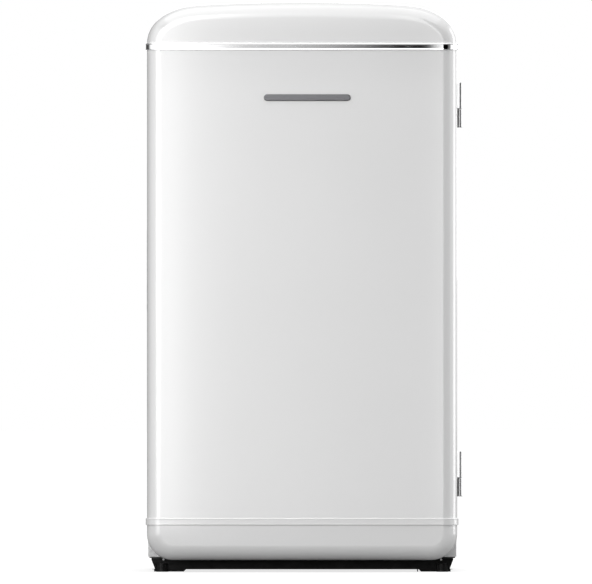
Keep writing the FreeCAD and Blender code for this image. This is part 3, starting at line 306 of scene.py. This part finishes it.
WHITE, WHITE_SHADE = (0.84, 0.84, 0.84), (0.825, 0.825, 0.825)
MATERIALS = {
    "door_paint": gloss_paint("DoorPaint", WHITE, WHITE_SHADE),
    "cabinet_paint": gloss_paint("CabinetPaint", (0.80, 0.80, 0.80), (0.785, 0.785, 0.785), 0.26),
    "cover_plastic": gloss_paint("CoverPlastic", (0.76, 0.76, 0.76), (0.74, 0.74, 0.74), 0.28, 0.7),
    "liner_plastic": moulded("LinerPlastic", (0.80, 0.81, 0.81), 0.34, 500.0, 0.00001, 0.97, 0.3),
    "foam": foam_material(),
    "rear_sheet": gloss_paint("RearSheet", (0.55, 0.56, 0.57), (0.50, 0.51, 0.52), 0.42, 0.1),
    "zinc_sheet": spangled_zinc(),
    "screw_steel": brushed("ScrewSteel", (0.62, 0.62, 0.63), 0.32, (1.0, 1.0, 1.0)),
    "black_steel": gloss_paint("BlackSteel", (0.018, 0.018, 0.018), (0.03, 0.03, 0.03), 0.36, 0.3),
    "plinth_plastic": black_plastic("PlinthPlastic", 0.004, 0.45),
    "button_plastic": moulded("ButtonPlastic", (0.90, 0.90, 0.90), 0.25),
    "foot_plastic": black_plastic("FootPlastic", 0.008, 0.34),
    "foot_rubber": rubber("FootRubber", (0.02, 0.02, 0.02)),
    "gland_rubber": rubber("GlandRubber", (0.025, 0.025, 0.025)),
    "compressor_enamel": gloss_paint("CompressorEnamel", (0.012, 0.012, 0.013), (0.03, 0.03, 0.03), 0.3, 0.6),
    "motor_iron": rubber("MotorIron", (0.10, 0.10, 0.10), 0.7),
    "grommet_rubber": rubber("GrommetRubber", (0.03, 0.03, 0.03)),
    "relay_plastic": moulded("RelayPlastic", (0.03, 0.03, 0.03), 0.5, 600.0, 0.00004, 1.8),
    "condenser_enamel": gloss_paint("CondenserEnamel", (0.015, 0.015, 0.015), (0.04, 0.04, 0.04), 0.4, 0.2),
    "bracket_plastic": moulded("BracketPlastic", (0.05, 0.05, 0.05), 0.5, 600.0, 0.00004, 1.5),
    "copper": copper_tube(),
    "evaporator_aluminium": roll_bond(),
    "icebox_plastic": moulded("IceboxPlastic", (0.70, 0.78, 0.84), 0.3, 500.0, 0.00002, 0.95, 0.2),
    "tray_plastic": moulded("TrayPlastic", (0.78, 0.82, 0.85), 0.3, 500.0, 0.00002, 0.96, 0.2),
    "control_plastic": moulded("ControlPlastic", (0.74, 0.74, 0.74), 0.42, 900.0, 0.00003, 0.96),
    "lens_plastic": clear_plastic("LensPlastic", (0.96, 0.96, 0.92), 0.25, 0.7),
    "thermostat_plastic": moulded("ThermostatPlastic", (0.08, 0.08, 0.08), 0.5),
    "knob_plastic": moulded("KnobPlastic", (0.42, 0.43, 0.45), 0.3, 800.0, 0.00002, 0.9, 0.3),
    "shelf_glass": shelf_glass(),
    "crisper_plastic": clear_plastic("CrisperPlastic", (0.96, 0.985, 0.99), 0.08, 0.9),
    "shelf_trim_plastic": moulded("ShelfTrimPlastic", (0.80, 0.80, 0.80), 0.28, 700.0, 0.00001, 0.97, 0.3),
    "switch_plastic": moulded("SwitchPlastic", (0.72, 0.72, 0.70), 0.4),
    "gasket_rubber": gasket_material(),
    "magnet_rubber": rubber("MagnetRubber", (0.06, 0.05, 0.045)),
    "grip_plastic": moulded("GripPlastic", (0.58, 0.58, 0.58), 0.42, 900.0, 0.00003, 0.94),
    "trim_chrome": chrome("TrimChrome", (0.88, 0.88, 0.885), 0.012),
    "badge_metal": brushed("BadgeMetal", (0.075, 0.075, 0.078), 0.32, (0.05, 1.0, 1.0)),
    "rack_plastic": clear_plastic("RackPlastic", (0.96, 0.985, 0.99), 0.08, 0.9),
    "rail_chrome": chrome("RailChrome", (0.78, 0.78, 0.79), 0.08),
    "hinge_chrome": chrome("HingeChrome", (0.62, 0.62, 0.625), 0.14),
    "pin_steel": brushed("PinSteel", (0.55, 0.55, 0.56), 0.25, (1.0, 1.0, 0.05)),
}


# ---- Mesh helpers ----------------------------------------------------------------------------------
def finish_mesh(name, bm, smooth_deg=35.0):
    """Object from a bmesh, its normals outward, smooth but for edges sharper than an angle."""
    bmesh.ops.recalc_face_normals(bm, faces=bm.faces)
    for face in bm.faces:
        face.smooth = True
    for edge in bm.edges:
        if len(edge.link_faces) == 2 and edge.calc_face_angle(0.0) > math.radians(smooth_deg):
            edge.smooth = False
    mesh = bpy.data.meshes.new(name)
    bm.to_mesh(mesh)
    bm.free()
    obj = bpy.data.objects.new(name, mesh)
    bpy.context.scene.collection.objects.link(obj)
    return obj


def dress(obj, body, nodes, slot):
    """Puts a new piece on its body in place of CAD nodes, with its material."""
    obj.data.materials.append(MATERIALS[slot])
    weighted = obj.modifiers.new("Normals", "WEIGHTED_NORMAL")
    weighted.keep_sharp = True
    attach(obj, body)
    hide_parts(*nodes)
    return obj


def turns(first, last, count):
    """Angles from first to last, in degrees, as radians."""
    return [math.radians(first + (last - first) * n / count) for n in range(count + 1)]


def dome_path(inset, cut):
    """Points (x, z) from the left side at the cut, over the dome, to the right side."""
    left, x, z, slope = [(-HALF_W + inset, cut)], -HALF_W, SPRING_Z, 90.0
    for radius, last in DOME_BENDS:
        cx, cz = x + radius * math.sin(math.radians(slope)), z - radius * math.cos(math.radians(slope))
        for a in turns(slope, last, 14)[:-1]:
            left.append((cx - (radius - inset) * math.sin(a), cz + (radius - inset) * math.cos(a)))
        x, z = cx - radius * math.sin(math.radians(last)), cz + radius * math.cos(math.radians(last))
        slope = last
    crown = -x / math.sin(math.radians(slope))
    cz = z - crown * math.cos(math.radians(slope))
    top = [(-(crown - inset) * math.sin(a), cz + (crown - inset) * math.cos(a))
           for a in turns(slope, -slope, 24)]
    return left + top + [(-px, pz) for px, pz in reversed(left)]


def base_path(inset, cut):
    """Points (x, z) from the left side at the cut, under the door, to the right side."""
    cx, cz = HALF_W - CORNER_R, DOOR_BOTTOM + CORNER_R
    left = [(-HALF_W + inset, cut)]
    for a in turns(180, 270, 18):
        left.append((-cx + (CORNER_R - inset) * math.cos(a), cz + (CORNER_R - inset) * math.sin(a)))
    return left + [(-px, pz) for px, pz in reversed(left)]


def shell_profile():
    """(inset, y) round the shell's section: rear lip, side, rounded edge to the face, then back inside."""
    lip, cut = REAR_LIP, REAR_LIP * 0.3
    out = [(SKIN, REAR_Y), (lip, REAR_Y), (cut, REAR_Y - cut), (0.0, REAR_Y - lip)]
    out += [(EDGE_R * (1 - math.cos(a)), FRONT_Y + EDGE_R * (1 - math.sin(a))) for a in turns(0, 90, 20)]
    r = EDGE_R - SKIN
    back = [(SKIN + r * (1 - math.cos(a)), FRONT_Y + SKIN + r * (1 - math.sin(a))) for a in turns(90, 0, 10)]
    return out, back


def cap_shell(name, path, cut):
    """Door cap: the shell's section carried along a path, closed by its flat face inside and out."""
    out, back = shell_profile()
    bm = bmesh.new()
    rings = []
    for inset, y in out + back:
        rings.append([bm.verts.new((DOOR_X + x, y, z)) for x, z in path(inset, cut)])
    face_ring = len(out) - 1
    for n, ring in enumerate(rings):
        following = rings[(n + 1) % len(rings)]
        if n == face_ring:
            continue
        for a, b, c, d in zip(ring, ring[1:], following[1:], following):
            bm.faces.new((a, b, c, d))
    outer, inner = rings[face_ring], rings[face_ring + 1]
    bm.faces.new(outer)
    bm.faces.new(list(reversed(inner)))
    bm.faces.new([ring[0] for ring in rings])
    bm.faces.new([ring[-1] for ring in reversed(rings)])
    bm.faces.new((outer[0], inner[0], inner[-1], outer[-1]))
    return finish_mesh(name, bm)


def rounded_rectangle(low, high, radius, steps=8):
    """Points of a rounded rectangle, counter-clockwise."""
    points = []
    centres = ((high[0], high[1], 0), (low[0], high[1], 90), (low[0], low[1], 180), (high[0], low[1], 270))
    for cx, cz, start in centres:
        cx += -radius if start in (0, 270) else radius
        cz += -radius if start in (0, 90) else radius
        for a in turns(start, start + 90, steps):
            points.append((cx + radius * math.cos(a), cz + radius * math.sin(a)))
    return points


def door_panel():
    """Main panel: a channel section carried straight up, with the grip's opening in its left side."""
    out, back = shell_profile()
    low_z, high_z = PANEL_LOW.z, PANEL_HIGH.z
    section = [(-HALF_W + inset, y) for inset, y in out]
    section += [(HALF_W - inset, y) for inset, y in reversed(out)]
    section += [(HALF_W - inset, y) for inset, y in reversed(back)]
    section += [(-HALF_W + inset, y) for inset, y in back]
    bm = bmesh.new()
    loops = [[bm.verts.new((DOOR_X + x, y, z)) for x, y in section] for z in (low_z, high_z)]
    count = len(section)
    for n in range(count):
        m = (n + 1) % count
        bm.faces.new((loops[0][n], loops[0][m], loops[1][m], loops[1][n]))
    bm.faces.new(list(reversed(loops[0])))
    bm.faces.new(loops[1])
    bmesh.ops.remove_doubles(bm, verts=bm.verts, dist=1e-7)
    panel = finish_mesh("DoorPanel", bm)
    low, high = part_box("grip_insert")
    start = (low.y - GRIP_MARGIN, low.z - GRIP_MARGIN)
    end = (high.y + GRIP_MARGIN, high.z + GRIP_MARGIN)
    hole = rounded_rectangle(start, end, GRIP_CORNER_R)
    reach = 0.01
    bm = bmesh.new()
    ends = [[bm.verts.new((PANEL_LOW.x + side * reach, y, z)) for y, z in hole] for side in (-1, 1)]
    for n in range(len(hole)):
        m = (n + 1) % len(hole)
        bm.faces.new((ends[0][n], ends[0][m], ends[1][m], ends[1][n]))
    bm.faces.new(ends[0])
    bm.faces.new(list(reversed(ends[1])))
    cutter = finish_mesh("GripCutter", bm)
    boolean = panel.modifiers.new("Grip", "BOOLEAN")
    boolean.operation, boolean.object, boolean.solver = "DIFFERENCE", cutter, "EXACT"
    bpy.context.view_layer.update()
    evaluated = panel.evaluated_get(bpy.context.evaluated_depsgraph_get())
    panel.data = bpy.data.meshes.new_from_object(evaluated)
    panel.modifiers.clear()
    bpy.data.objects.remove(cutter)
    return panel


def strip_section(tall, bead, recess):
    """(outward, up) points of a trim strip: flat land between two raised, rounded edges."""
    proud = STRIP_PROUD
    points = [(0.0, 0.0), (proud - bead, 0.0)]
    points += [(proud - bead + bead * math.cos(a), bead + bead * math.sin(a)) for a in turns(-90, 0, 5)[1:]]
    points += [(proud, bead * 1.35), (proud - recess * 0.93, bead * 2.1), (proud - recess, bead * 2.6)]
    return points + [(out, tall - up) for out, up in reversed(points)]


def trim_strip(name, node, bead, recess):
    """Bright band round the face and sides of the door."""
    low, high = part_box(node)
    section, rear = strip_section(high.z - low.z, bead, recess), high.y
    path = [(-HALF_W, rear, -1.0, 0.0), (-HALF_W, FRONT_Y + EDGE_R, -1.0, 0.0)]
    cx, cy = HALF_W - EDGE_R, FRONT_Y + EDGE_R
    path += [(-cx, cy, -math.cos(a), -math.sin(a), EDGE_R) for a in turns(0, 90, 20)[1:]]
    path += [(cx, cy, math.cos(a), -math.sin(a), EDGE_R) for a in turns(90, 0, 20)[:-1]]
    path += [(HALF_W, FRONT_Y + EDGE_R, 1.0, 0.0), (HALF_W, rear, 1.0, 0.0)]
    bm = bmesh.new()
    rings = []
    for x, y, nx, ny, *radius in path:
        reach = radius[0] if radius else 0.0
        rings.append([bm.verts.new((DOOR_X + x + nx * (reach + out), y + ny * (reach + out), low.z + up))
                      for out, up in section])
    for a, b in zip(rings, rings[1:]):
        for n in range(len(section)):
            m = (n + 1) % len(section)
            bm.faces.new((a[n], a[m], b[m], b[n]))
    bm.faces.new(rings[0])
    bm.faces.new(list(reversed(rings[-1])))
    return finish_mesh(name, bm, 50.0)


def gasket():
    """Door seal: a dart base, two bellows folds and the magnet's pocket, mitred round the corners."""
    low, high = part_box("door_gasket")
    deep = high.y - low.y
    section = [(0.000, 0.00), (0.000, 0.10), (0.0035, 0.16), (0.0040, 0.24), (0.0012, 0.32), (0.0012, 0.40),
               (0.0038, 0.48), (0.0038, 0.54), (0.0008, 0.60), (0.0002, 0.70), (0.0004, 0.90), (0.0016, 1.00),
               (0.0134, 1.00), (0.0146, 0.90), (0.0148, 0.70), (0.0142, 0.60), (0.0112, 0.54), (0.0112, 0.48),
               (0.0138, 0.40), (0.0138, 0.32), (0.0110, 0.24), (0.0115, 0.16), (0.0150, 0.10), (0.0150, 0.00)]
    bm = bmesh.new()
    rings = []
    for inset, rise in section:
        corner = max(0.0005, 0.012 - inset)
        start, end = (low.x + inset, low.z + inset), (high.x - inset, high.z - inset)
        rings.append([bm.verts.new((x, low.y + deep * rise, z))
                      for x, z in rounded_rectangle(start, end, corner, 6)])
    for n, ring in enumerate(rings):
        following = rings[(n + 1) % len(rings)]
        for k in range(len(ring)):
            m = (k + 1) % len(ring)
            bm.faces.new((ring[k], ring[m], following[m], following[k]))
    return finish_mesh("DoorGasket", bm, 60.0)


# ---- The object ------------------------------------------------------------------------------------
for entry in frame["record"]["subparts"]:
    node = NODES[entry["node"]]
    node.data.materials.clear()
    node.data.materials.append(MATERIALS[entry["material_slot"]])

dress(cap_shell("DoorTopCap", dome_path, TOP_CUT), "door", ["door_top_cap"], "door_paint")
dress(cap_shell("DoorBottomCap", base_path, BOTTOM_CUT), "door", ["door_bottom_cap"], "door_paint")
dress(door_panel(), "door", ["door_panel"], "door_paint")
dress(trim_strip("UpperTrimStrip", "upper_trim_strip", UPPER_BEAD, UPPER_RECESS), "door",
      ["upper_trim_strip"], "trim_chrome")
dress(trim_strip("LowerTrimStrip", "lower_trim_strip", LOWER_BEAD, LOWER_RECESS), "door",
      ["lower_trim_strip"], "door_paint")
dress(gasket(), "door", ["door_gasket"], "gasket_rubber")


# ---- Stage, lights and camera ----------------------------------------------------------------------
def plane(name, width, height, location, direction):
    """Flat rectangle centred on location, facing along direction."""
    bm = bmesh.new()
    signs = ((-1, -1), (1, -1), (1, 1), (-1, 1))
    bm.faces.new([bm.verts.new((x * width / 2, y * height / 2, 0.0)) for x, y in signs])
    mesh = bpy.data.meshes.new(name)
    bm.to_mesh(mesh)
    bm.free()
    obj = bpy.data.objects.new(name, mesh)
    bpy.context.scene.collection.objects.link(obj)
    facing = Vector(direction).to_track_quat("Z", "Y").to_matrix().to_4x4()
    obj.matrix_world = Matrix.Translation(location) @ facing
    return obj


def floor():
    """Plain pale floor, high-key to the eye but giving little light back to the object."""
    obj = plane("Floor", 60.0, 60.0, (0, 0, 0), (0, 0, 1))
    mat = bpy.data.materials.new("FloorPaint")
    mat.use_nodes = True
    mat.cycles.emission_sampling = "NONE"
    tree = mat.node_tree
    tree.nodes.clear()
    path = tree.nodes.new("ShaderNodeLightPath")
    bounce, paint = tree.nodes.new("ShaderNodeBsdfDiffuse"), tree.nodes.new("ShaderNodeBsdfDiffuse")
    bounce.inputs["Color"].default_value = (0.28, 0.28, 0.28, 1.0)
    paint.inputs["Color"].default_value = (0.30, 0.30, 0.30, 1.0)
    glow, both = tree.nodes.new("ShaderNodeEmission"), tree.nodes.new("ShaderNodeAddShader")
    glow.inputs["Strength"].default_value = 0.76
    choice, out = tree.nodes.new("ShaderNodeMixShader"), tree.nodes.new("ShaderNodeOutputMaterial")
    tree.links.new(glow.outputs["Emission"], both.inputs[0])
    tree.links.new(paint.outputs["BSDF"], both.inputs[1])
    tree.links.new(path.outputs["Is Camera Ray"], choice.inputs["Fac"])
    tree.links.new(bounce.outputs["BSDF"], choice.inputs[1])
    tree.links.new(both.outputs["Shader"], choice.inputs[2])
    tree.links.new(choice.outputs["Shader"], out.inputs["Surface"])
    obj.data.materials.append(mat)


def glow_material(name):
    """Emission for a reflector, with its strength left to be linked."""
    mat = bpy.data.materials.new(name)
    mat.use_nodes = True
    mat.cycles.emission_sampling = "NONE"
    mat.node_tree.nodes.clear()
    glow = mat.node_tree.nodes.new("ShaderNodeEmission")
    out = mat.node_tree.nodes.new("ShaderNodeOutputMaterial")
    mat.node_tree.links.new(glow.outputs["Emission"], out.inputs["Surface"])
    return mat, glow


def gloss_only(obj, mat):
    """Makes a stage piece a reflector that is seen only in glossy surfaces."""
    obj.data.materials.append(mat)
    obj.visible_camera = obj.visible_diffuse = obj.visible_transmission = obj.visible_shadow = False


def profile(tree, source, low, high, points, gain):
    """Strength along one coordinate, in straight steps between (place, level) points no higher than gain."""
    stretch = tree.nodes.new("ShaderNodeMapRange")
    stretch.inputs["From Min"].default_value, stretch.inputs["From Max"].default_value = low, high
    fall = tree.nodes.new("ShaderNodeFloatCurve")
    curve = fall.mapping.curves[0]
    for place, level in points[1:-1]:
        curve.points.new((place - low) / (high - low), level / gain)
    curve.points[0].location = (0.0, points[0][1] / gain)
    curve.points[-1].location = (1.0, points[-1][1] / gain)
    for point in curve.points:
        point.handle_type = "VECTOR"
    fall.mapping.update()
    boost = tree.nodes.new("ShaderNodeMath")
    boost.operation = "MULTIPLY"
    boost.inputs[1].default_value = gain
    tree.links.new(source, stretch.inputs["Value"])
    tree.links.new(stretch.outputs["Result"], fall.inputs["Value"])
    tree.links.new(fall.outputs["Value"], boost.inputs[0])
    return boost.outputs["Value"]


def card(name, width, height, location, direction, axis, points):
    """Reflector whose level follows a profile of (place, level) along one axis."""
    mat, glow = glow_material(name)
    tree = mat.node_tree
    split = tree.nodes.new("ShaderNodeSeparateXYZ")
    tree.links.new(tree.nodes.new("ShaderNodeNewGeometry").outputs["Position"], split.inputs["Vector"])
    level = profile(tree, split.outputs[axis], points[0][0], points[-1][0], points, 5.0)
    tree.links.new(level, glow.inputs["Strength"])
    gloss_only(plane(name, width, height, location, direction), mat)


def front_card():
    """Big reflector before the door: bright on the left, darker to the right, lifted high and low."""
    mat, glow = glow_material("FrontCard")
    tree = mat.node_tree
    place = tree.nodes.new("ShaderNodeNewGeometry")
    split = tree.nodes.new("ShaderNodeSeparateXYZ")
    tree.links.new(place.outputs["Position"], split.inputs["Vector"])
    across = profile(tree, split.outputs["X"], -0.31, 0.89, (
        (-0.31, 4.8), (-0.24, 4.5), (-0.22, 2.8), (-0.19, 1.6), (-0.16, 1.05), (-0.12, 0.7), (-0.02, 0.52),
        (0.04, 0.36), (0.11, 0.12), (0.14, 0.03), (0.19, 0.02), (0.21, 1.1), (0.59, 1.1), (0.79, 0.0),
        (0.89, 0.0)), 5.0)
    upward = profile(tree, split.outputs["Z"], 0.0, 3.0, (
        (0.0, 0.0), (0.035, 0.0), (0.05, 1.7), (0.25, 1.2), (0.6, 1.0), (0.77, 0.9), (0.8, 0.0), (0.865, 0.0),
        (0.89, 2.0), (1.2, 2.0), (2.3, 2.6), (3.0, 2.6)), 5.0)
    added = tree.nodes.new("ShaderNodeMath")
    added.operation = "ADD"
    tree.links.new(across, added.inputs[0])
    tree.links.new(upward, added.inputs[1])
    fade = profile(tree, split.outputs["X"], 0.0, 2.9,
                   ((0.0, 1.0), (0.59, 1.0), (0.84, 0.0), (2.9, 0.0)), 1.0)
    total = tree.nodes.new("ShaderNodeMath")
    total.operation = "MULTIPLY"
    tree.links.new(added.outputs["Value"], total.inputs[0])
    tree.links.new(fade, total.inputs[1])
    tree.links.new(total.outputs["Value"], glow.inputs["Strength"])
    gloss_only(plane("FrontCard", 5.6, 3.0, (0.1, -3.2, 1.53), (0, 1, 0)), mat)


def area_light(name, location, target, size, energy):
    """Rectangular soft light, not seen by the camera itself."""
    light = bpy.data.lights.new(name, "AREA")
    light.shape, light.size, light.size_y, light.energy = "RECTANGLE", *size, energy
    obj = bpy.data.objects.new(name, light)
    bpy.context.scene.collection.objects.link(obj)
    aim = (Vector(location) - Vector(target)).to_track_quat("Z", "Y")
    obj.matrix_world = Matrix.Translation(location) @ aim.to_matrix().to_4x4()
    obj.visible_camera = False
    return obj


def overhead_light(strength, spread_deg):
    """Broad soft light from straight above."""
    light = bpy.data.lights.new("Overhead", "SUN")
    light.energy, light.angle = strength, math.radians(spread_deg)
    obj = bpy.data.objects.new("Overhead", light)
    bpy.context.scene.collection.objects.link(obj)
    obj.location = (0.0, 0.0, 3.0)


def world(background, ambient, shaded):
    """White surroundings for the camera, softer for the light, and dark in gloss behind the object's left."""
    made = bpy.data.worlds.new("Studio")
    bpy.context.scene.world = made
    made.use_nodes = True
    tree = made.node_tree
    towards = tree.nodes.new("ShaderNodeTexCoord")
    facing = tree.nodes.new("ShaderNodeVectorMath")
    facing.operation = "DOT_PRODUCT"
    facing.inputs[1].default_value = (-0.77, 0.64, 0.0)
    dim = tree.nodes.new("ShaderNodeMapRange")
    dim.interpolation_type = "SMOOTHSTEP"
    for socket, value in zip(("From Min", "From Max", "To Min", "To Max"), (0.45, 0.95, ambient, shaded)):
        dim.inputs[socket].default_value = value
    path = tree.nodes.new("ShaderNodeLightPath")
    gloss, level = tree.nodes.new("ShaderNodeMapRange"), tree.nodes.new("ShaderNodeMapRange")
    gloss.inputs["To Min"].default_value = ambient
    level.inputs["To Max"].default_value = background
    shade = tree.nodes["Background"]
    tree.links.new(towards.outputs["Generated"], facing.inputs[0])
    tree.links.new(facing.outputs["Value"], dim.inputs["Value"])
    tree.links.new(dim.outputs["Result"], gloss.inputs["To Max"])
    tree.links.new(path.outputs["Is Glossy Ray"], gloss.inputs["Value"])
    tree.links.new(gloss.outputs["Result"], level.inputs["To Min"])
    tree.links.new(path.outputs["Is Camera Ray"], level.inputs["Value"])
    tree.links.new(level.outputs["Result"], shade.inputs["Strength"])
    shade.inputs["Color"].default_value = (1.0, 1.0, 1.0, 1.0)


def camera():
    """Very long lens at half the object's height, square on but for a hair to the hinge side."""
    distance, azimuth, frame_width = 30.0, math.radians(0.4), 0.9
    target = Vector((-0.0122, FRONT_Y, 0.4264))
    back = Vector((math.sin(azimuth), -math.cos(azimuth), 0.0))
    data = bpy.data.cameras.new("Camera")
    data.sensor_width = 36.0
    data.lens = data.sensor_width * distance / frame_width
    data.clip_start, data.clip_end = 0.1, 100.0
    obj = bpy.data.objects.new("Camera", data)
    bpy.context.scene.collection.objects.link(obj)
    obj.rotation_mode = "QUATERNION"
    obj.location = target + back * distance
    obj.rotation_quaternion = (-back).to_track_quat("-Z", "Y")
    bpy.context.scene.camera = obj


floor()
front_card()
card("LeftCard", 3.8, 3.0, (-2.7, -1.3, 1.53), (1, 0, 0), "Y",
     ((-3.2, 2.0), (-1.2, 2.0), (0.0, 0.75), (0.6, 0.3)))
card("RightCard", 6.2, 3.0, (2.9, -0.1, 1.53), (-1, 0, 0), "Y",
     ((-3.2, 0.1), (-1.9, 0.25), (-1.3, 1.2), (2.0, 1.2), (3.0, 0.75)))
card("TopCard", 3.4, 3.7, (0.0, -1.35, 3.03), (0, 0, -1), "X",
     ((-1.7, 3.0), (-0.3, 3.2), (0.0, 2.8), (0.25, 2.3), (0.4, 2.6), (1.7, 2.4)))
MIDDLE = (0.0, 0.0, 0.43)
area_light("KeyLeft", (-1.6, -2.2, 0.6), MIDDLE, size=(1.4, 2.4), energy=22.0)
area_light("FillRight", (2.0, 0.3, 0.7), MIDDLE, size=(0.8, 2.4), energy=17.0)
area_light("BackFill", (0.6, 3.0, 1.4), MIDDLE, size=(3.0, 2.0), energy=20.0)
overhead_light(strength=0.65, spread_deg=90.0)
world(background=1.0, ambient=0.74, shaded=0.08)
camera()
bpy.context.scene.view_settings.view_transform = "Standard"
